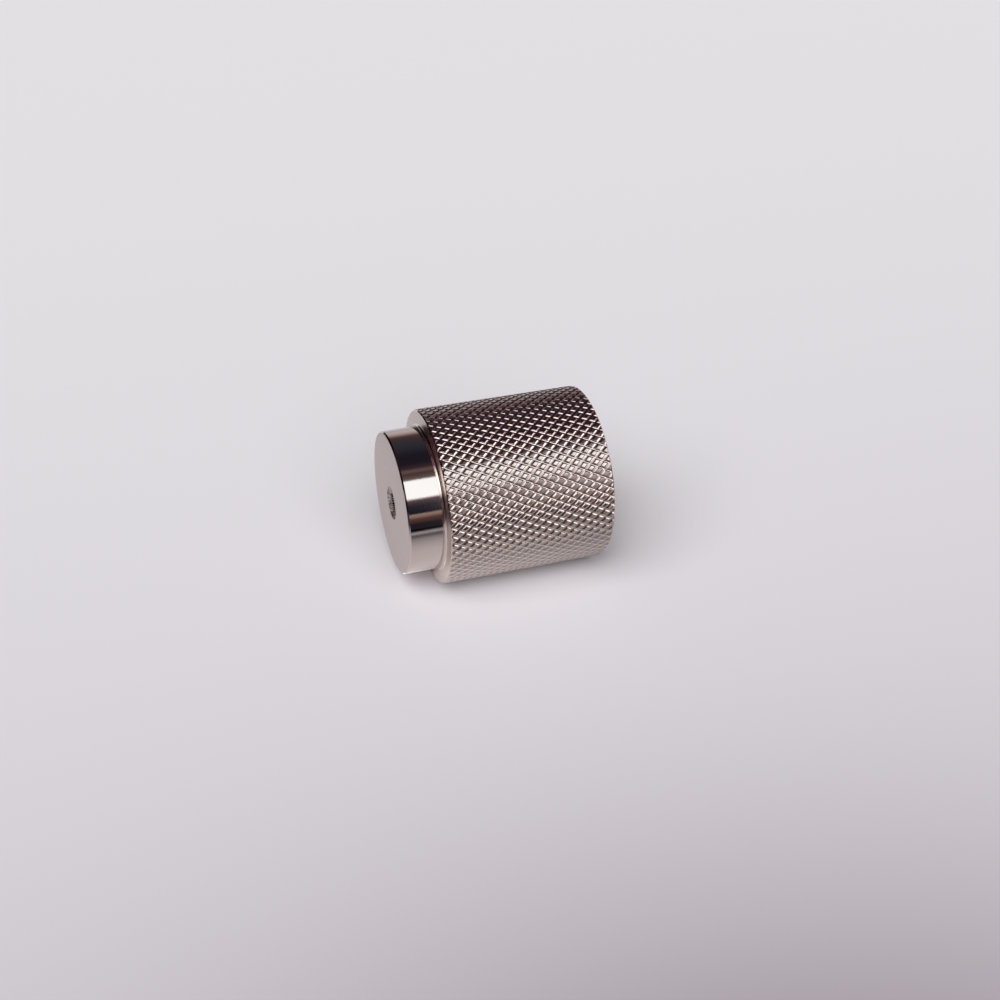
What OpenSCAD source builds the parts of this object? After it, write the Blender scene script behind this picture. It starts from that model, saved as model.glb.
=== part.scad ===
// Knurled cabinet knob, turned from one bar, standing on its foot.
// Millimetres. Z runs from the foot's end face (z = 0) to the head's outer face.

/* [Head] */
// Diameter over the knurl
head_d = 24; // [22:0.5:30]
// Length of the head, from the shoulder to its outer face
head_len = 22.7; // [14:0.1:32]
// Size of the 45 degree chamfer on both ends of the head
head_chamfer = 0.2; // [0.1:0.05:0.5]

/* [Knurl] */
// Distance from groove to groove, measured square to them at the head's diameter
knurl_pitch = 1; // [0.8:0.1:1.6]
// Mean angle between the grooves and the knob's axis
knurl_angle = 33.4; // [28:0.1:40]
// Tilt of the knurling tool, which turns the left-hand grooves further from the axis and the right-hand ones nearer
knurl_tilt = 4.9; // [0:0.1:6]
// Turn of the whole pattern round the axis
knurl_turn = 240.3; // [0:0.1:359.9]
// Depth of the grooves below the diamonds' flat tops
knurl_depth = 0.12; // [0.05:0.01:0.3]
// Width of a diamond's flat top, as a share of the pitch
knurl_land = 0.42; // [0.2:0.01:0.7]

/* [Foot] */
// Diameter of the foot
foot_d = 19.6; // [12:0.1:21.2]
// Length of the foot, from its end face to the shoulder
foot_len = 5; // [2:0.5:12]
// Size of the 45 degree chamfer round the foot's end face
foot_chamfer = 0.2; // [0.1:0.05:0.5]
// Radius of the fillet where the foot runs into the shoulder
root_fillet = 0.4; // [0.2:0.05:0.9]

/* [Screw hole] */
// Nominal diameter of the screw thread
thread_d = 4; // [3:0.5:6]
// Pitch of the screw thread
thread_pitch = 0.7; // [0.5:0.05:1]
// Length of full thread below the foot's end face
thread_len = 11; // [6:0.5:14]
// How far the drilled hole runs on past the thread
drill_runout = 2; // [1:0.5:4]
// How far the countersink at the mouth reaches outside the thread, on the radius
mouth_flare = 0.3; // [0.1:0.05:1]
// Point angle of the drill
drill_point = 118; // [90:1:140]

/* [Hidden] */
$fn = 128;
nickel = [0.74, 0.71, 0.69];

// Levels along the axis
shoulder_z = foot_len;
top_z = foot_len + head_len;

// The screw hole: the wall left by the tap drill is the thread's inside diameter
drill_r = (thread_d - thread_pitch) / 2;
mouth_r = thread_d / 2 + mouth_flare;
hole_len = thread_len + drill_runout;
point_len = drill_r / tan(drill_point / 2);

// The knurl. Grooves of both hands cross at the corners of the diamonds. A whole
// number of each hand goes round, so the pattern closes on itself.
groove_r = head_d / 2 - knurl_depth;
peak_r = groove_r + knurl_depth / (1 - knurl_land);
girth = PI * head_d;
left_angle = knurl_angle + knurl_tilt;
right_angle = knurl_angle - knurl_tilt;
left_starts = round(girth * cos(left_angle) / knurl_pitch);
right_starts = round(girth * cos(right_angle) / knurl_pitch);
closing = tan(left_angle) + tan(right_angle);
// Climb along the axis from one crossing to the next, over a left- or a right-hand groove
left_climb = girth / left_starts / closing;
right_climb = girth / right_starts / closing;
// The pattern starts and ends far enough outside the head for whole diamonds to reach both its ends
knurl_z = shoulder_z - left_climb - right_climb;
rows = ceil((head_len + right_climb + 2 * left_climb) / right_climb);

// Point on a cylinder, from its radius, angle and height
function polar(r, a, z) = [r * cos(a), r * sin(a), z];

// Crossing of left-hand groove i and right-hand groove j, both counted round the head
function crossing_z(i, j) = knurl_z + i * left_climb - j * right_climb;
function crossing_a(i, j) = knurl_turn
    + 360 * (i / left_starts * tan(right_angle) + j / right_starts * tan(left_angle)) / closing;
function crossing(i, j, r = groove_r) = polar(r, crossing_a(i, j), crossing_z(i, j));

// Right-hand groove that passes the start of left-hand groove i
function first_right(i) = floor(i * right_starts / left_starts);

// A bar with the knurl all along it: four-sided peaks between the grooves. The long
// point at its lower end is wide enough to hold the whole foot.
module knurled_bar() {
    last = left_starts - 1;
    lag = [for (i = [0:last]) first_right(i + 1) - first_right(i)];
    cells = [for (i = [0:last], k = [1:rows - lag[i]]) [i, k]];
    corners = [for (i = [0:last], k = [0:rows]) crossing(i, first_right(i) - k)];
    peaks = [for (c = cells) crossing(c[0] + 0.5, first_right(c[0]) - c[1] + 0.5, peak_r)];
    low_end = len(corners) + len(peaks);
    high_end = low_end + 1;
    function at(i, k) = (i % left_starts) * (rows + 1) + k;

    diamonds = [
        for (n = [0:len(cells) - 1])
            let (i = cells[n][0], k = cells[n][1], next = k + lag[i],
                 ring = [at(i, k), at(i + 1, next), at(i + 1, next - 1), at(i, k - 1)])
            for (e = [0:3]) [ring[e], ring[(e + 1) % 4], len(corners) + n]
    ];
    low_cap = [
        for (i = [0:last]) each [
            [at(i, 0), at(i + 1, lag[i]), low_end],
            for (m = [1:lag[i]]) [at(i + 1, m), at(i + 1, m - 1), low_end]
        ]
    ];
    high_cap = [
        for (i = [0:last]) each [
            [at(i + 1, rows), at(i, rows - lag[i]), high_end],
            for (m = [1:lag[i]]) [at(i, rows - m), at(i, rows - m + 1), high_end]
        ]
    ];
    polyhedron(
        points = concat(corners, peaks, [[0, 0, -10 * head_d], [0, 0, top_z + head_d]]),
        faces = concat(diamonds, low_cap, high_cap));
}

// Half-section of the turned outside: foot, shoulder and head, with their chamfers
module outside_section() {
    polygon([
        [0, 0],
        [foot_d / 2 - foot_chamfer, 0],
        [foot_d / 2, foot_chamfer],
        [foot_d / 2, shoulder_z],
        [head_d / 2 - head_chamfer, shoulder_z],
        [head_d / 2, shoulder_z + head_chamfer],
        [head_d / 2, top_z - head_chamfer],
        [head_d / 2 - head_chamfer, top_z],
        [0, top_z]
    ]);
    // Corner between foot and shoulder, hollowed by the fillet
    translate([foot_d / 2, shoulder_z - root_fillet])
        difference() {
            square(root_fillet);
            translate([root_fillet, 0]) circle(root_fillet);
        }
}

// Half-section of the drilled and countersunk hole
module hole_section() {
    polygon([
        [0, -mouth_r],
        [2 * mouth_r, -mouth_r],
        [drill_r, mouth_r - drill_r],
        [drill_r, hole_len],
        [0, hole_len + point_len]
    ]);
}

// The knob: a knurled bar turned down to its outside and drilled for its screw
module knob() {
    color(nickel)
        intersection() {
            knurled_bar();
            difference() {
                rotate_extrude() outside_section();
                rotate_extrude() hole_section();
            }
        }
}

knob();
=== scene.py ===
from math import atan, cos, e, pi, radians, tan

import bmesh
import bpy
import numpy as np
from mathutils import Matrix, Vector


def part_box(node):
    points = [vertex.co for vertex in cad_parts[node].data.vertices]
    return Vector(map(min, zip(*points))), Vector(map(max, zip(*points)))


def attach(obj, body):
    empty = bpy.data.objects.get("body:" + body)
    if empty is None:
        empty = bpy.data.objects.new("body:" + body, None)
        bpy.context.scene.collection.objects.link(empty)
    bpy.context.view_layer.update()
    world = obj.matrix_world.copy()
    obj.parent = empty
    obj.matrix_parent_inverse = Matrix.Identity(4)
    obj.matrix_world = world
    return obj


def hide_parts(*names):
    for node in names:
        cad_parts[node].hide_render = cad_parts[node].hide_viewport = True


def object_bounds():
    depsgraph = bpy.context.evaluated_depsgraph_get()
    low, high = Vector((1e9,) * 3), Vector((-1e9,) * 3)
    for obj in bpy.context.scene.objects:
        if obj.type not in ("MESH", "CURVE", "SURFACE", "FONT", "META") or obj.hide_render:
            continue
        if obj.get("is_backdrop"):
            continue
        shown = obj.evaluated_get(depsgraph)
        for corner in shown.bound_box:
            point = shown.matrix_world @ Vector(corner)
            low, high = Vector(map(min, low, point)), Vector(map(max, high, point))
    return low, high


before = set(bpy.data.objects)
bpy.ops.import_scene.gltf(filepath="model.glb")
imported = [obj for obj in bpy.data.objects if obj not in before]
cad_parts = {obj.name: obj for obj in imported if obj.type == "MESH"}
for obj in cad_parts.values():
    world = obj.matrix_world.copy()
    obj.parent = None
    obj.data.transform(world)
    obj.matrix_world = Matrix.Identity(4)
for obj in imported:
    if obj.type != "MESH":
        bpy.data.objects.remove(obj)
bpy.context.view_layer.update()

# A small turned metal knob: a knurled head on a plain polished foot, with a tapped
# hole in the foot. It stands on its foot, +Z up. Lengths below are in millimetres.
mm = 0.001
knobLow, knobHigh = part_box("knob")
headRadius = (knobHigh.x - knobLow.x) / 2 / mm
topZ = knobHigh.z / mm
print("frame: head radius %.3f mm, height %.3f mm" % (headRadius, topZ))

knurl = {
    "pitch": 1.0,            # groove to groove, square to them
    "angle": 33.4,           # mean angle between grooves and axis, degrees
    "tilt": 4.9,             # left-hand grooves lie further from the axis by it
    "turn": 240.3,           # turn of the whole pattern round the axis, degrees
    "depth": 0.12,           # grooves below the flat tops
    "left": (0.297, 0.323),  # where a groove is steepest and where it ends, in pitches
    "right": (0.19, 0.26),   # from its middle, for each hand
    "blend": 0.2,            # 0: at crossings the deeper groove alone counts, 1: both do
    "overrun": 0.6,          # pattern made past both ends of the head, cut off later
    "spareCells": 2,         # rows of cells made beyond those that the length needs
    "endPoint": 4,           # length of the bar's pointed ends, in head radii
}

turned = {
    "footRadius": 9.8,
    "footLength": 5.0,
    "footChamfer": 0.2,
    "rootFillet": 0.4,
    "headChamfer": 0.2,
    "clear": 0.06,         # the blank stands this far outside the knurl's tops
    "segments": 144,
    "arcSteps": 6,
}

skin = {
    "weld": 2e-8,          # points nearer to each other than this become one, metres
    "sharp": 30,           # edges that bend more than this stay crisp, degrees
    "near": 0.01,          # points this near to a wall, an arc or the axis lie on it
    "knurlReach": 1.5,     # the knurl reaches this far under its tops, in groove depths
    "outward": 0.8,        # its faces turn at least this far outwards,
    "upright": 0.01,       # those of the foot's wall less than this along the axis,
    "flat": 0.999,         # and end faces at least this far along it
}

screwHole = {
    "threadRadius": 2.0,
    "pitch": 0.7,
    "boreRadius": 1.65,
    "threadLength": 11.0,
    "boreLength": 13.0,
    "mouthFlare": 0.3,
    "drillPoint": 118,     # degrees
    "crest": 0.25,         # widths of crest and root, in pitches
    "root": 0.125,
}


# ---- mesh helpers

def meshFromArrays(name, points, faces):
    # points: n x 3 in millimetres; faces: m x 4, where collapsed corners are merged away
    mesh = bpy.data.meshes.new(name)
    mesh.from_pydata((points * mm).tolist(), [], faces.tolist())
    work = bmesh.new()
    work.from_mesh(mesh)
    bmesh.ops.remove_doubles(work, verts=work.verts, dist=skin["weld"])
    bmesh.ops.recalc_face_normals(work, faces=work.faces)
    work.to_mesh(mesh)
    work.free()
    piece = bpy.data.objects.new(name, mesh)
    bpy.context.scene.collection.objects.link(piece)
    return piece


# ---- the knurled bar

girth = 2 * pi * headRadius
tanLeft = tan(radians(knurl["angle"] + knurl["tilt"]))
tanRight = tan(radians(knurl["angle"] - knurl["tilt"]))
leftStarts = round(girth * cos(atan(tanLeft)) / knurl["pitch"])
rightStarts = round(girth * cos(atan(tanRight)) / knurl["pitch"])
closing = tanLeft + tanRight
leftClimb = girth / leftStarts / closing
rightClimb = girth / rightStarts / closing
knurlStart = turned["footLength"] - leftClimb - rightClimb
print("knurl: %d left-hand and %d right-hand grooves" % (leftStarts, rightStarts))


def grooveRise(count, shape):
    # Rise above the groove bottom as a share of the depth, and its slope per pitch, by
    # the distance x from the nearest groove's middle. Two parabolas that meet where the
    # groove is steepest, s, and end flat at its edge, e: x squared / (s e) inside, and
    # 1 - (e - x) squared / (e (e - s)) outside.
    steep, edge = shape
    offset = count - np.round(count)
    x = np.minimum(np.abs(offset), edge)
    inside = x < steep
    rise = np.where(inside, x * x / (steep * edge), 1 - (edge - x) ** 2 / (edge * (edge - steep)))
    slope = np.where(inside, 2 * x / (steep * edge), 2 * (edge - x) / (edge * (edge - steep)))
    return rise, slope * np.sign(offset)


def groovePattern(a, b):
    # Height over the groove bottoms as a share of the depth, with its slopes along a
    # and b. Cut of one hand = 1 - its rise. Both cuts together = (1 - blend) * the
    # larger of them + blend * (sum - product).
    aRise, aSlope = grooveRise(a, knurl["left"])
    bRise, bSlope = grooveRise(b, knurl["right"])
    blend = knurl["blend"]
    height = (1 - blend) * np.minimum(aRise, bRise) + blend * aRise * bRise
    aDeeper = aRise < bRise
    return (
        height,
        aSlope * ((1 - blend) * aDeeper + blend * bRise),
        bSlope * ((1 - blend) * ~aDeeper + blend * aRise))


def crossMarks(shape):
    # Lines across one cell, none at its middle because the tops are flat
    steep, edge = shape
    marks = np.array([0, steep / 2, steep, edge])
    return np.concatenate([marks, 1 - marks[:0:-1]])


def knurledBar():
    # Two families of grooves wind round the bar, left-hand ones counted by a and
    # right-hand ones by b. From the counts: height = start + a * leftClimb - b *
    # rightClimb, turn = (a / leftStarts * tanRight + b / rightStarts * tanLeft) /
    # (tanLeft + tanRight), and radius = bottom + depth * pattern(a, b).
    bottomRadius = headRadius - knurl["depth"]
    lowZ = turned["footLength"] - knurl["overrun"]
    highZ = topZ + knurl["overrun"]
    leftMarks, rightMarks = crossMarks(knurl["left"]), crossMarks(knurl["right"])
    perCell = len(leftMarks)
    column = np.arange(leftStarts * perCell + 1)
    a = column // perCell + leftMarks[column % perCell]
    firstRight = np.floor(column // perCell * rightStarts / leftStarts).astype(int)
    cells = int(np.ceil((highZ - lowZ + rightClimb + 2 * leftClimb) / rightClimb))
    cells += knurl["spareCells"]
    row = np.arange(cells * perCell)
    b = firstRight[:, None] + 1 - (row // perCell + rightMarks[row % perCell])[None, :]

    # slide what lies past the ends along its groove back onto the end plane
    aGrid = np.broadcast_to(a[:, None], b.shape)
    along = knurlStart + aGrid * leftClimb
    bGrid = np.clip(b, (along - highZ) / rightClimb, (along - lowZ) / rightClimb)
    height = along - bGrid * rightClimb
    turn = (aGrid / leftStarts * tanRight + bGrid / rightStarts * tanLeft) / closing
    turn = 2 * pi * turn + radians(knurl["turn"])
    radius = bottomRadius + knurl["depth"] * groovePattern(aGrid, bGrid)[0]
    points = np.stack([radius * np.cos(turn), radius * np.sin(turn), height], axis=-1)

    # quads join equal b in neighbouring columns, so rows shift where firstRight steps
    shift = (firstRight[1:] - firstRight[:-1]) * perCell
    rows = len(row)
    left = column[:-1, None] * rows + row[None, :-1]
    right = left + rows + shift[:, None]
    keep = row[None, :-1] + 1 + shift[:, None] < rows
    inside = (b < (along - lowZ) / rightClimb) & (b > (along - highZ) / rightClimb)
    flatInside = inside.ravel()
    quads = np.stack([left, left + 1, right + 1, right], axis=-1)[keep]
    quads = quads[flatInside[quads].any(axis=1)]

    # close both ends with a long point, wide enough at the lower end to hold the foot
    reach = knurl["endPoint"] * headRadius
    tips = [[0, 0, lowZ - reach]] * 2 + [[0, 0, highZ + reach]] * 2
    first = column[:-1, None] * rows
    lowFan = np.hstack([first, first + rows, 0 * first + points.size // 3 + [0, 1]])
    highFan = lowFan + [rows - 1, rows - 1, 2, 2]
    points = np.concatenate([points.reshape(-1, 3), tips])
    return meshFromArrays("knurledBar", points, np.concatenate([quads, lowFan, highFan]))


# ---- the turned and tapped blank

def revolved(profile):
    # A profile of (radius, height) rows carried round the axis: rows x segments points
    angle = np.linspace(0, 2 * pi, turned["segments"] + 1)
    radius, height = profile[:, 0, None], profile[:, 1, None]
    return np.stack([
        radius * np.cos(angle), radius * np.sin(angle), height + 0 * angle], axis=-1)


def threadedWall():
    # The hole's wall on a grid that climbs with the thread: height = pitch * (row +
    # turn), held between mouth and thread's end. Radius: the larger of the thread's
    # trapezoid at that row and the countersink's cone, mouth radius - height.
    pitch = screwHole["pitch"]
    mouthRadius = screwHole["threadRadius"] + screwHole["mouthFlare"]
    crest, root = screwHole["crest"], screwHole["root"]
    side = (1 - crest - root) / 2
    known = [0, crest / 2, crest / 2 + side, crest / 2 + side + root, 1 - crest / 2, 1]
    level = [screwHole["boreRadius"]] * 2 + [screwHole["threadRadius"]] * 2
    level += [screwHole["boreRadius"]] * 2
    # rows at the thread's corners and at the middle of both its sides
    marks = np.sort(known[:-1] + [(crest + side) / 2, 1 - (crest + side) / 2])
    turns = np.arange(-1, np.ceil(screwHole["threadLength"] / pitch) + 1)
    rows = (turns[:, None] + marks[None, :]).ravel()
    angle = np.linspace(0, 2 * pi, turned["segments"] + 1)
    height = pitch * (rows[:, None] + angle[None, :] / 2 / pi)
    height = np.clip(height, 0, screwHole["threadLength"])
    thread = np.interp(rows % 1, known, level)[:, None] + 0 * angle
    thread = np.where(height < screwHole["threadLength"], thread, screwHole["boreRadius"])
    radius = np.maximum(thread, mouthRadius - height)
    return np.stack([radius * np.cos(angle), radius * np.sin(angle), height], axis=-1)


def turnedBlank():
    # Rings from the hole's tip out through its mouth, over foot, root fillet, shoulder
    # and head to the middle of the head's outer face, joined into one closed skin
    drillRise = screwHole["boreRadius"] / tan(radians(screwHole["drillPoint"] / 2))
    tip = revolved(np.array([
        [0, screwHole["boreLength"] + drillRise],
        [screwHole["boreRadius"], screwHole["boreLength"]]]))
    foot, fillet = turned["footRadius"], turned["rootFillet"]
    chamfer, shoulderZ = turned["footChamfer"], turned["footLength"]
    sweep = np.linspace(pi, pi / 2, turned["arcSteps"] + 1)
    arc = np.stack([
        foot + fillet + fillet * np.cos(sweep),
        shoulderZ - fillet + fillet * np.sin(sweep)], axis=-1)
    edge = headRadius - turned["headChamfer"]
    rim = headRadius + turned["clear"]
    rise = rim - edge
    outside = np.concatenate([
        [[foot - chamfer, 0], [foot, chamfer]],
        arc,
        [[edge, shoulderZ], [rim, shoulderZ + rise], [rim, topZ - rise], [edge, topZ], [0, topZ]]])
    grid = np.concatenate([tip, threadedWall()[::-1], revolved(outside)])
    rows, columns = grid.shape[:2]
    corner = np.arange(rows - 1)[:, None] * columns + np.arange(columns - 1)[None, :]
    quads = np.stack([corner, corner + 1, corner + columns + 1, corner + columns], axis=-1)
    return meshFromArrays("turnedBlank", grid.reshape(-1, 3), quads.reshape(-1, 4))


def cutKnob():
    # The bar is turned down to the blank: what both have in common
    bar = knurledBar()
    blank = turnedBlank()
    cut = bar.modifiers.new("turnDown", "BOOLEAN")
    cut.operation = "INTERSECT"
    cut.solver = "EXACT"
    cut.object = blank
    depsgraph = bpy.context.evaluated_depsgraph_get()
    mesh = bpy.data.meshes.new_from_object(bar.evaluated_get(depsgraph))
    mesh.name = "knurledKnob"
    piece = bpy.data.objects.new("knurledKnob", mesh)
    bpy.context.scene.collection.objects.link(piece)
    bpy.data.objects.remove(bar)
    bpy.data.objects.remove(blank)
    return piece


def smoothSkin(piece):
    # Every face of the outside takes the normals of the surface that it follows: walls
    # point straight out, flat faces along the axis, and the root fillet to the middle of
    # its arc. On the knurl, a and b come from the turn t and height h: a = leftStarts *
    # (t + (h - start) * tanLeft / girth) and b = rightStarts * (t - (h - start) *
    # tanRight / girth), with t in whole turns; the normal leans back by the slopes.
    mesh = piece.data
    mesh.shade_smooth()
    mesh.set_sharp_from_angle(angle=radians(skin["sharp"]))
    spots = np.zeros(len(mesh.vertices) * 3)
    mesh.vertices.foreach_get("co", spots)
    corners = np.zeros(len(mesh.loops), dtype=int)
    mesh.loops.foreach_get("vertex_index", corners)
    spots = spots.reshape(-1, 3)[corners] / mm
    normals = np.zeros(len(mesh.loops) * 3)
    mesh.corner_normals.foreach_get("vector", normals)
    normals = normals.reshape(-1, 3)
    faceNormals = np.zeros(len(mesh.polygons) * 3)
    mesh.polygon_normals.foreach_get("vector", faceNormals)
    sizes = np.zeros(len(mesh.polygons), dtype=int)
    mesh.polygons.foreach_get("loop_total", sizes)
    facing = np.repeat(faceNormals.reshape(-1, 3), sizes, axis=0)

    radius = np.hypot(spots[:, 0], spots[:, 1])
    out = spots[:, :2] / np.maximum(radius, skin["near"])[:, None]
    outward = (facing[:, :2] * out).sum(axis=1) > skin["outward"]
    onKnurl = outward & (radius > headRadius - skin["knurlReach"] * knurl["depth"])
    turn = (np.arctan2(spots[:, 1], spots[:, 0]) - radians(knurl["turn"])) / 2 / pi
    climb = (spots[:, 2] - knurlStart) / girth
    a = leftStarts * (turn + climb * tanLeft)
    b = rightStarts * (turn - climb * tanRight)
    aSlope, bSlope = groovePattern(a, b)[1:]
    perA, perB = knurl["depth"] * aSlope, knurl["depth"] * bSlope
    sideways = (perA * leftStarts + perB * rightStarts) / girth
    upward = (perA * leftStarts * tanLeft - perB * rightStarts * tanRight) / girth
    leaning = np.stack([
        out[:, 0] + sideways * out[:, 1], out[:, 1] - sideways * out[:, 0], -upward], axis=-1)
    leaning /= np.linalg.norm(leaning, axis=1)[:, None]
    normals[onKnurl] = leaning[onKnurl]

    flat = np.abs(facing[:, 2]) > skin["flat"]
    normals[flat] = facing[flat]
    foot, fillet, near = turned["footRadius"], turned["rootFillet"], skin["near"]
    onWall = (np.abs(radius - foot) < near) & (np.abs(facing[:, 2]) < skin["upright"])
    normals[onWall] = np.pad(out, ((0, 0), (0, 1)))[onWall]
    arcZ = turned["footLength"] - fillet
    inward = foot + fillet - radius
    onArc = (inward > -near) & (inward < fillet + near) & (spots[:, 2] > arcZ - near)
    onArc &= (spots[:, 2] < turned["footLength"] + near) & ~flat & ~onWall
    toMiddle = np.column_stack([out * inward[:, None], arcZ - spots[:, 2]]) / fillet
    normals[onArc] = toMiddle[onArc]
    mesh.normals_split_custom_set(normals.tolist())


knob = cutKnob()
smoothSkin(knob)
print("knob: %d faces" % len(knob.data.polygons))


# ---- finish

metal = {
    "colour": (0.68, 0.60, 0.55),
    "polished": 0.04,
    "tops": 0.12,            # roughness of the knurl's flat tops
    "faced": 0.3,            # and of the turned end faces
    "topEdge": (0.03, 0.01),         # the tops' finish begins this far under the head's radius
    "flat": 0.99,            # end faces turn at least this far along the axis
    # painted shade: the foot's end face made darker for the shade in its fine turning grooves
    "footFaceTint": (0.91, 0.86, 0.88),
    "footFaceBelow": (1, 0.5),       # heights between which the foot face's finish begins
    "rimTint": (0.75, 0.72, 0.74),   # burnished ring at the foot face's rim
    "rimRing": (9.35, 9.6),          # its radii
    "ringPitch": 0.11,       # turning marks on the end faces
    "ringHeight": 0.0006,
    "streaks": (3.5, 0.12),  # rings of uneven tone there, per millimetre, and how strong
    "streakSpan": (0.3, 0.7),
    "pits": (5, 0.0022),     # fine unevenness of the whole skin, per millimetre, and its height
    "detail": 3.0,
}

tapped = {
    "rough": 0.7,
    # painted light: the hole's colour made lighter than the metal's, against the shade inside it
    "tint": (1.22, 1.25, 1.27),
    "edge": 0.01,            # half width of this finish's edge at the mouth
    "overBore": (4, 3),      # and between which heights over the bore it begins, clear of it
    "mottle": (3, 0.7),      # uneven tone, per millimetre, and how strong
    "mottleSpan": (0.4, 0.6),
    "detail": 4.0,
    "deepPaintedLight": (1.15, 1.2, 1.2),        # painted light: the inner part made lighter, from the countersink's end
    "beadShade": (0.05, 0.05, 0.05),      # painted shade: dark marks at the inner end of the countersink
    "beads": 38,
    "beadSpan": (0.45, 0.72),            # heights between which they lie
    "beadEdge": 0.05,
    "beadWave": (-0.1, 0.3),             # heights of the wave between which a bead begins
}

grooveTone = {
    # painted highlights and shade: brightness by distance from a groove's middle in pitches, for
    # each hand
    "left": (
        (-0.5, 0.96), (-0.36, 1), (-0.28, 1.15), (-0.2, 1.28), (-0.12, 1.02), (0, 0.62),
        (0.5, 0.96)),
    "right": (
        (-0.5, 0.97), (-0.36, 0.97), (-0.25, 0.6), (-0.16, 0.98), (-0.08, 1.2), (0, 1.28),
        (0.5, 0.97)),
    "depths": (0.2, 0.15),       # it begins this far under the head's radius
    "aboveShoulder": (0, 0.1),   # and this far above the shoulder
}


def link(tree, source, target):
    tree.links.new(source, target)


def node(tree, kind, operation=None, *sources, **values):
    # One shader node with its operation, what its first sockets read, and the values of
    # others, by name or, as s1, by number
    made = tree.nodes.new("ShaderNode" + kind)
    if operation:
        made.operation = operation
    for socket, source in enumerate(sources):
        link(tree, source, made.inputs[socket])
    for name, value in values.items():
        place = int(name[1:]) if name[0] == "s" and name[1:].isdigit() else name
        made.inputs[place].default_value = value
    return made


def ramped(tree, source, low, high, start=0, end=1):
    # start where the source is under low, end where it is over high, and even between
    made = node(tree, "MapRange", None, source)
    for name, value in zip(("From Min", "From Max", "To Min", "To Max"), (low, high, start, end)):
        made.inputs[name].default_value = value
    return made.outputs[0]


def rampedMetres(tree, source, span):
    # The same over a span in millimetres
    return ramped(tree, source, span[0] * mm, span[1] * mm)


def product(tree, *factors):
    total = factors[0]
    for factor in factors[1:]:
        total = node(tree, "Math", "MULTIPLY", total, factor).outputs[0]
    return total


def mixed(tree, share, first, second):
    # From the first to the second by share; a number stands for itself
    made = node(tree, "Mix", None, share)
    for name, source in (("A", first), ("B", second)):
        if isinstance(source, (int, float)):
            made.inputs[name].default_value = source
        else:
            link(tree, source, made.inputs[name])
    return made.outputs["Result"]


def mixedColour(tree, share, first, second):
    # The same for colours, whose sockets come after those of numbers and vectors
    made = node(tree, "Mix", None, share)
    made.data_type = "RGBA"
    firstIn, secondIn, colourOut = 6, 7, 2
    link(tree, first, made.inputs[firstIn])
    link(tree, second, made.inputs[secondIn])
    return made.outputs[colourOut]


def tinted(tree, colour, mask, tint):
    # Colour * (1 + mask * (tint - 1))
    excess = [level - 1 for level in tint]
    share = node(tree, "VectorMath", "MULTIPLY_ADD", mask, s1=excess, s2=(1, 1, 1))
    return node(tree, "VectorMath", "MULTIPLY", colour, share.outputs["Vector"]).outputs["Vector"]


def colourRamp(tree, source, stops, start, end):
    # Colours by a value that runs from start to end; stops: (value, colour) in rising order
    ramp = tree.nodes.new("ShaderNodeValToRGB")
    elements = ramp.color_ramp.elements
    for number, (value, colour) in enumerate(stops):
        position = (value - start) / (end - start)
        element = elements[number] if number < 2 else elements.new(position)
        element.position = position
        element.color = (*colour, 1)
    link(tree, source, ramp.inputs[0])
    return ramp.outputs[0]


def grey(level):
    return (level, level, level)


def paintedGrooveLight(tree, height, turn):
    # Painted highlights and shade across both hands of grooves. With a and b as in smoothSkin,
    # the distance from the nearest groove's middle = the fraction of a + 0.5, less 0.5.
    tones = []
    for starts, lean, levels in (
            (leftStarts, tanLeft, grooveTone["left"]),
            (rightStarts, -tanRight, grooveTone["right"])):
        phase = starts * knurl["turn"] / 360 + starts * lean * knurlStart / girth - 0.5
        climb = node(
            tree, "Math", "MULTIPLY_ADD", height, s1=starts * lean / girth / mm, s2=-phase)
        count = node(tree, "Math", "MULTIPLY_ADD", turn, s1=starts / 2 / pi)
        link(tree, climb.outputs[0], count.inputs[2])
        fraction = node(tree, "Math", "FRACT", count.outputs[0])
        stops = [(offset, grey(level)) for offset, level in levels]
        tones.append(colourRamp(tree, fraction.outputs[0], stops, -0.5, 0.5))
    return product(tree, *tones)


def paintedThreadShade(tree, height, turn):
    # Where painted shade goes: a bead wherever the sine of beads * turn is high, between two
    # heights
    waves = node(tree, "Math", "MULTIPLY", turn, s1=tapped["beads"])
    wave = node(tree, "Math", "SINE", waves.outputs[0])
    (low, high), edge = tapped["beadSpan"], tapped["beadEdge"]
    return product(
        tree,
        rampedMetres(tree, height, (low - edge, low)),
        rampedMetres(tree, height, (high + edge, high)),
        ramped(tree, wave.outputs[0], *tapped["beadWave"]))


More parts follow.
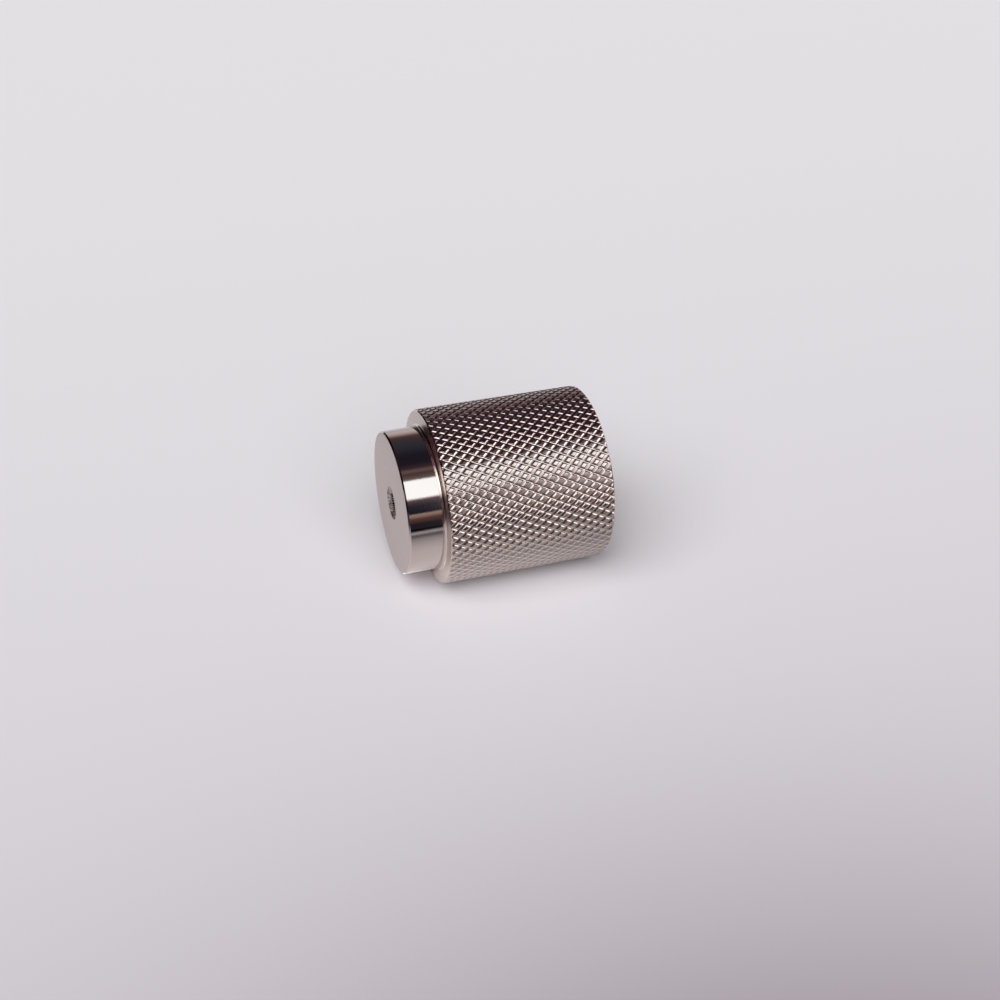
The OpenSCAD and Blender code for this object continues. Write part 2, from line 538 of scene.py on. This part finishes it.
def nickelFinish():
    # Polished nickel. The flat tops of the knurl and the turned end faces are satin, the
    # hole is rough and mottled, and the end faces carry fine rings: height = one wave
    # every ringPitch of radius.
    material = bpy.data.materials.new("nickel")
    material.use_nodes = True
    tree = material.node_tree
    shader = tree.nodes["Principled BSDF"]
    shader.inputs["Metallic"].default_value = 1

    # where on the knob: radius, height, turn round the axis, and whether on an end face
    place = node(tree, "TexCoord").outputs["Object"]
    spot = node(tree, "SeparateXYZ", None, place)
    height = spot.outputs["Z"]
    flat = node(tree, "VectorMath", "MULTIPLY", place, s1=(1, 1, 0))
    radius = node(tree, "VectorMath", "LENGTH", flat.outputs["Vector"]).outputs["Value"]
    turn = node(tree, "Math", "ARCTAN2", spot.outputs["Y"], spot.outputs["X"]).outputs[0]
    facing = node(tree, "NewGeometry").outputs["True Normal"]
    axes = node(tree, "SeparateXYZ", None, facing)
    along = node(tree, "Math", "ABSOLUTE", axes.outputs["Z"])
    face = node(tree, "Math", "GREATER_THAN", along.outputs[0], s1=metal["flat"]).outputs[0]

    # masks of the finishes
    top = rampedMetres(tree, radius, [headRadius - depth for depth in metal["topEdge"]])
    mouth = screwHole["threadRadius"] + screwHole["mouthFlare"]
    hole = product(
        tree,
        rampedMetres(tree, radius, (mouth + tapped["edge"], mouth - tapped["edge"])),
        rampedMetres(tree, height, [screwHole["boreLength"] + rise for rise in tapped["overBore"]]))
    footFace = product(tree, face, rampedMetres(tree, height, metal["footFaceBelow"]))
    rim = product(tree, footFace, rampedMetres(tree, radius, metal["rimRing"]))
    deep = product(tree, hole, rampedMetres(tree, height, tapped["beadSpan"]))
    beads = product(tree, hole, paintedThreadShade(tree, height, turn))
    shoulderZ = turned["footLength"]
    knurled = product(
        tree,
        rampedMetres(tree, radius, [headRadius - depth for depth in grooveTone["depths"]]),
        rampedMetres(tree, height, [shoulderZ + rise for rise in grooveTone["aboveShoulder"]]))

    wall = mixed(tree, top, metal["polished"], metal["tops"])
    rough = mixed(tree, hole, mixed(tree, face, wall, metal["faced"]), tapped["rough"])
    link(tree, rough, shader.inputs["Roughness"])

    # uneven tones: blotches in the hole, rings on the end faces
    perLength, mottle = tapped["mottle"]
    blotches = node(tree, "TexNoise", None, place, Scale=perLength / mm, Detail=tapped["detail"])
    mottled = product(tree, hole, ramped(tree, blotches.outputs[0], *tapped["mottleSpan"]))
    perRadius, streak = metal["streaks"]
    rings = node(tree, "Math", "MULTIPLY", radius, s1=perRadius / mm)
    uneven = node(tree, "TexNoise", Scale=1.0, Detail=metal["detail"])
    uneven.noise_dimensions = "1D"
    link(tree, rings.outputs[0], uneven.inputs["W"])
    streaked = product(tree, face, ramped(tree, uneven.outputs[0], *metal["streakSpan"]))

    # the colour, tinted through one mask after another; the tints of the foot face, the hole and
    # the beads paint light and shade into it
    colour = node(tree, "VectorMath", "SCALE", s0=metal["colour"], Scale=1.0).outputs["Vector"]
    for mask, tint in (
            (streaked, grey(1 - streak)), (footFace, metal["footFaceTint"]),
            (rim, metal["rimTint"]), (hole, tapped["tint"]), (mottled, grey(1 - mottle)),
            (deep, tapped["deepPaintedLight"]), (beads, tapped["beadShade"])):
        colour = tinted(tree, colour, mask, tint)
    # painted highlights and shade across the knurl's grooves, multiplied into the colour
    toned = node(tree, "VectorMath", "SCALE", colour)
    tone = mixed(tree, knurled, 1, paintedGrooveLight(tree, height, turn))
    link(tree, tone, toned.inputs["Scale"])
    link(tree, toned.outputs["Vector"], shader.inputs["Base Color"])

    # turning marks on the end faces, and fine unevenness everywhere
    turns = node(tree, "Math", "MULTIPLY", radius, s1=2 * pi / (metal["ringPitch"] * mm))
    ring = node(tree, "Math", "SINE", turns.outputs[0])
    bump = node(tree, "Bump", Distance=metal["ringHeight"] * mm)
    perLength, rise = metal["pits"]
    grain = node(tree, "TexNoise", None, place, Scale=perLength / mm, Detail=metal["detail"])
    pits = node(tree, "Bump", Distance=rise * mm)
    link(tree, ring.outputs[0], bump.inputs["Height"])
    link(tree, face, bump.inputs["Strength"])
    link(tree, grain.outputs[0], pits.inputs["Height"])
    link(tree, bump.outputs["Normal"], pits.inputs["Normal"])
    link(tree, pits.outputs["Normal"], shader.inputs["Normal"])
    return material


knob.data.materials.append(nickelFinish())
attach(knob, "root")
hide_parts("knob")
print("finish: nickel on %s" % knob.name)


# ---- surroundings

sky = {
    "ambient": 0.03,                 # even light on the table
    "backdrop": (0.764, 0.742, 0.774),
    "footSide": (0.16, -0.2),        # slopes along the axis between which the middle bands
    "headSide": (0.21, 0.7),         # give way to those for the foot's and the head's side
    "endSpan": (0.8, 0.93),          # and between which all of them grow dark
    "endLevel": 0.06,

    # What the metal sees around it, by angle round the knob's axis in degrees, from the
    # camera's side over the top (90) and down behind (180). The foot's wall mirrors the
    # middle set. Sides of grooves that lean to the foot or to the head mirror the others.
    "middle": [
        (-17, (0.018, 0.017, 0.027)),
        (-7, (0.020, 0.018, 0.028)),
        (-3, (0.08, 0.042, 0.042)),
        (1, (0.115, 0.055, 0.055)),
        (4, (0.26, 0.17, 0.155)),
        (7.8, (0.39, 0.31, 0.28)),
        (9.8, (0.05, 0.04, 0.045)),
        (11, (0.015, 0.014, 0.024)),
        (22, (0.03, 0.028, 0.045)),
        (30, (0.11, 0.08, 0.10)),
        (32, (0.45, 0.40, 0.41)),
        (34, (1.42, 1.55, 1.65)),
        (61, (1.42, 1.55, 1.65)),
        (63, (0.3, 0.25, 0.25)),
        (65, (0.15, 0.11, 0.12)),
        (72, (0.078, 0.051, 0.051)),
        (77, (0.168, 0.114, 0.108)),
        (82, (0.05, 0.03, 0.04)),
        (90, (0.018, 0.015, 0.026)),
        (104, (0.015, 0.014, 0.023)),
        (126, (0.035, 0.036, 0.056)),
        (144, (0.055, 0.045, 0.052)),
        (152, (0.09, 0.06, 0.056)),
        (158, (0.28, 0.21, 0.20)),
        (164, (0.51, 0.45, 0.46)),
        (172, (0.58, 0.53, 0.55)),
        (180, (0.6, 0.55, 0.58)),
    ],
    "foot": [
        (-17, (0.3, 0.17, 0.19)),
        (0, (0.05, 0.02, 0.03)),
        (14, (0.19, 0.11, 0.13)),
        (26, (0.13, 0.08, 0.09)),
        (31, (0.8, 0.65, 0.67)),
        (38, (1.75, 1.65, 1.65)),
        (50, (2.35, 2.25, 2.25)),
        (62, (2.1, 2.0, 2.0)),
        (76, (1.25, 1.05, 1.1)),
        (81, (0.17, 0.08, 0.1)),
        (90, (0.3, 0.16, 0.19)),
        (97, (0.05, 0.015, 0.02)),
        (112, (0.1, 0.045, 0.06)),
        (140, (0.03, 0.01, 0.015)),
        (160, (0, 0, 0)),
    ],
    "head": [
        (-35, (0.13, 0.1, 0.11)),
        (-20, (0.3, 0.14, 0.18)),
        (-8, (0.8, 0.6, 0.6)),
        (0, (0.5, 0.43, 0.46)),
        (8, (0.85, 0.75, 0.78)),
        (15, (1.9, 1.8, 1.8)),
        (48, (1.95, 1.85, 1.85)),
        (55, (0.25, 0.13, 0.14)),
        (65, (0.45, 0.3, 0.32)),
        (76, (0.2, 0.1, 0.12)),
        (92, (0.07, 0.02, 0.03)),
        (140, (0.01, 0, 0)),
    ],
}


def makeSky():
    # Reflections read the bands by angle = arctangent of (-y, x) and blend the three
    # sets by the direction's z. The camera sees the pale backdrop, and everything else a
    # faint even light.
    world = bpy.data.worlds.new("surroundings")
    bpy.context.scene.world = world
    world.use_nodes = True
    tree = world.node_tree
    tree.nodes.clear()
    axes = node(tree, "SeparateXYZ", None, node(tree, "TexCoord").outputs["Generated"])
    slope = axes.outputs["Z"]
    up = node(tree, "Math", "MULTIPLY", axes.outputs["Y"], s1=-1)
    angle = node(tree, "Math", "ARCTAN2", up.outputs[0], axes.outputs["X"])
    share = ramped(tree, angle.outputs[0], -pi, pi)
    middle, foot, head = [
        colourRamp(tree, share, bands, -180, 180)
        for bands in (sky["middle"], sky["foot"], sky["head"])]
    colour = mixedColour(tree, ramped(tree, slope, *sky["footSide"]), middle, foot)
    colour = mixedColour(tree, ramped(tree, slope, *sky["headSide"]), colour, head)
    steep = node(tree, "Math", "ABSOLUTE", slope)
    shaded = node(tree, "VectorMath", "SCALE", colour)
    dark = ramped(tree, steep.outputs[0], *sky["endSpan"], 1, sky["endLevel"])
    link(tree, dark, shaded.inputs["Scale"])

    mirrored = node(tree, "Background", None, shaded.outputs["Vector"])
    ambient = node(tree, "Background", Strength=sky["ambient"])
    plain = node(tree, "Background", Color=(*sky["backdrop"], 1))
    path = node(tree, "LightPath")
    lit = node(
        tree, "MixShader", None, path.outputs["Is Glossy Ray"], ambient.outputs[0],
        mirrored.outputs[0])
    seen = node(
        tree, "MixShader", None, path.outputs["Is Camera Ray"], lit.outputs[0],
        plain.outputs[0])
    node(tree, "OutputWorld", None, seen.outputs[0])


tableTop = {
    "y": headRadius,                 # it touches the side of the head
    "size": 3000,
    "colour": (0.764, 0.742, 0.774),
    "nearShadeDrop": (0.06, 0.065, 0.06),      # painted shade: darker towards the camera, as a power of X
    "nearSpan": 81,
    "nearLimit": 100,                # X past which it gets no darker
    "shadowDrop": (0.346, 0.364, 0.378),    # and a painted shadow: a soft dark spot
    "shadowAt": (119, 4.5),            # X and Z
    "shadowSpan": (51, 58),
}

# The table as the polished metal sees it: light and shade painted into it for reflections
# only. Spans are over X or Z, and a level of 1 is as bright as the camera sees it.
tableSeen = {
    "span": (-12, 60),               # X; the metal sees no table past its end
    # level by X: lit, with a dim strip near its edge
    "levels": (
        (-12, 0.95), (-1, 0.7), (1, 2.4), (2.2, 1.85), (3.3, 1.4), (4.5, 1.05), (7, 0.92),
        (10, 0.86), (16, 0.82), (22, 0.66), (28, 0.45), (31, 0.28), (34, 0.17), (37, 0.33),
        (40, 0.62), (43, 0.56), (47, 0.2), (50, 0.01), (60, 0)),
    # the same past the head's end
    "farLevels": (
        (-12, 0.75), (10, 0.72), (16, 0.62), (28, 0.52), (35, 0.35), (43, 0.5), (50, 0.1),
        (60, 0.05)),
    "farSpan": (10, 30),             # Z over which the first levels give way to the second
    "frontSpan": (0.6, -0.6),        # and over which both give way to an even one
    "frontLevel": 0.95,
    "dimSpan": (-16, -45),           # Z over which the table dims in front of the foot
    "farDimSpan": ((60, 85), (-40, -15)),     # and past the head: over Z and X
    "dimLevel": 0.08,
    "contactShade": 0.75,            # darker by this under the knob: over X, X and Z
    "contactSpan": ((2.5, 0), (-16, -8), (3.5, 4.8)),
    "bounce": 0.18,                  # painted glow for light thrown between knob and table: over X, X and Z
    "bounceSpan": ((0, -5), (-34, -22), (4, 7)),
}


def within(tree, axes, names, spans):
    # Product of ramps over spans in millimetres, each along the axis named
    return product(tree, *[
        rampedMetres(tree, axes.outputs[name], span) for name, span in zip(names, spans)])


def tableShade(tree, axes):
    # Colour with painted shade = plain - nearShadeDrop * e^(X / nearSpan) - shadowDrop *
    # e^-(u^2 + v^2), where u and v are X and Z from the painted shadow's middle in units of its
    # span
    limited = node(tree, "Math", "MINIMUM", axes.outputs["X"], s1=tableTop["nearLimit"] * mm)
    near = node(tree, "Math", "DIVIDE", limited.outputs[0], s1=tableTop["nearSpan"] * mm)
    squares = []
    for name, middle, span in zip("XZ", tableTop["shadowAt"], tableTop["shadowSpan"]):
        offset = node(tree, "Math", "SUBTRACT", axes.outputs[name], s1=middle * mm)
        scaled = node(tree, "Math", "DIVIDE", offset.outputs[0], s1=span * mm)
        squares.append(product(tree, scaled.outputs[0], scaled.outputs[0]))
    spot = node(tree, "Math", "ADD", *squares)
    colour = node(tree, "VectorMath", "SUBTRACT", s0=tableTop["colour"])
    darker = node(tree, "VectorMath", "SUBTRACT", colour.outputs["Vector"])
    for target, drop, base, exponent in (
            (colour, tableTop["nearShadeDrop"], e, near),
            (darker, tableTop["shadowDrop"], 1 / e, spot)):
        power = node(tree, "Math", "POWER", s0=base)
        scaled = node(tree, "VectorMath", "SCALE", s0=drop)
        link(tree, exponent.outputs[0], power.inputs[1])
        link(tree, power.outputs[0], scaled.inputs["Scale"])
        link(tree, scaled.outputs["Vector"], target.inputs[1])
    return darker.outputs["Vector"]


def mirroredLevel(tree, axes):
    # How bright the table looks in the metal = level * (1 - contactShade * contact)
    start, end = tableSeen["span"]
    across = rampedMetres(tree, axes.outputs["X"], (start, end))
    first, second = [
        colourRamp(tree, across, [(x, grey(level)) for x, level in levels], start, end)
        for levels in (tableSeen["levels"], tableSeen["farLevels"])]
    far = rampedMetres(tree, axes.outputs["Z"], tableSeen["farSpan"])
    front = rampedMetres(tree, axes.outputs["Z"], tableSeen["frontSpan"])
    level = mixed(tree, front, mixed(tree, far, first, second), tableSeen["frontLevel"])
    dim = node(
        tree, "Math", "ADD", rampedMetres(tree, axes.outputs["Z"], tableSeen["dimSpan"]),
        within(tree, axes, "ZX", tableSeen["farDimSpan"]))
    level = mixed(tree, dim.outputs[0], level, tableSeen["dimLevel"])
    contact = within(tree, axes, "XXZ", tableSeen["contactSpan"])
    shade = node(tree, "Math", "MULTIPLY_ADD", contact, s1=-tableSeen["contactShade"], s2=1)
    return product(tree, level, shade.outputs[0])


def tablePaint():
    # Paint with its painted shade for the camera; for the metal, the same at the painted mirrored
    # level and a painted glow for thrown light. Its back can't be seen, and the metal sees nothing
    # of it past the span.
    material = bpy.data.materials.new("tablePaint")
    material.use_nodes = True
    tree = material.node_tree
    tree.nodes.clear()
    axes = node(tree, "SeparateXYZ", None, node(tree, "TexCoord").outputs["Object"])
    glossy = node(tree, "LightPath").outputs["Is Glossy Ray"]
    tint = node(tree, "VectorMath", "SCALE", tableShade(tree, axes))
    link(tree, mixed(tree, glossy, 1, mirroredLevel(tree, axes)), tint.inputs["Scale"])
    paint = node(tree, "BsdfDiffuse", None, tint.outputs["Vector"])
    bounce = product(tree, within(tree, axes, "XXZ", tableSeen["bounceSpan"]), glossy)
    strength = node(tree, "Math", "MULTIPLY", bounce, s1=tableSeen["bounce"])
    thrown = node(tree, "Emission", Color=(*tableTop["colour"], 1))
    link(tree, strength.outputs[0], thrown.inputs["Strength"])
    lit = node(tree, "AddShader", None, paint.outputs[0], thrown.outputs[0])
    beyond = node(tree, "Math", "GREATER_THAN", axes.outputs["X"], s1=tableSeen["span"][1] * mm)
    hidden = node(
        tree, "Math", "MULTIPLY_ADD", beyond.outputs[0], glossy,
        node(tree, "NewGeometry").outputs["Backfacing"])
    clear = node(tree, "BsdfTransparent")
    seen = node(tree, "MixShader", None, hidden.outputs[0], lit.outputs[0], clear.outputs[0])
    node(tree, "OutputMaterial", None, seen.outputs[0])
    return material


def makeTable():
    # A plane behind the knob as it stands, under it as the camera sees it
    half, y = tableTop["size"] / 2, tableTop["y"]
    points = np.array([[-half, y, -half], [half, y, -half], [half, y, half], [-half, y, half]])
    mesh = bpy.data.meshes.new("table")
    mesh.from_pydata((points * mm).tolist(), [], [(0, 1, 2, 3)])
    table = bpy.data.objects.new("table", mesh)
    bpy.context.scene.collection.objects.link(table)
    mesh.materials.append(tablePaint())
    table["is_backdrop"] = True


lamps = {
    "towards": (                     # directions to them, with their power
        ((0.75, -0.66, -0.08), 2.2),
        ((0.39, -0.78, -0.5), 2.1)),
    "spread": 50,                    # degrees
}


def makeLamps():
    # Two broad lamps on the camera's side stand for a long softbox. They light the table
    # and cast soft shadows; the softbox's mirror image is in the bands.
    for back, power in lamps["towards"]:
        lamp = bpy.data.lights.new("lamp", "SUN")
        lamp.energy = power
        lamp.angle = radians(lamps["spread"])
        holder = bpy.data.objects.new("lamp", lamp)
        bpy.context.scene.collection.objects.link(holder)
        holder.visible_glossy = False
        holder.rotation_euler = Vector(back).to_track_quat("Z", "Y").to_euler()


view = {
    "lens": 49.79,
    "sensor": 36,
    "nearest": 5,            # nothing nearer than this is drawn
    "from": (154.68, -100.24, -34.58),
    "at": (1.865, 1.296, 14.82),
}


def makeCamera():
    # Level with the table, whose up is -Y here: the knob lies on its side in the view
    camera = bpy.data.cameras.new("camera")
    camera.lens = view["lens"]
    camera.sensor_width = view["sensor"]
    camera.clip_start = view["nearest"] * mm
    holder = bpy.data.objects.new("camera", camera)
    bpy.context.scene.collection.objects.link(holder)
    eye, aim = np.array(view["from"]), np.array(view["at"])
    back = (eye - aim) / np.linalg.norm(eye - aim)
    right = np.cross([0, -1, 0], back)
    right = right / np.linalg.norm(right)
    turn = Matrix([right, np.cross(back, right), back]).transposed()
    holder.matrix_world = Matrix.Translation(eye * mm) @ turn.to_4x4()
    bpy.context.scene.camera = holder


makeSky()
makeTable()
makeLamps()
makeCamera()
bpy.context.scene.view_settings.view_transform = "Standard"
print("stage, sky and camera made")

knobLow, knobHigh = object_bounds()
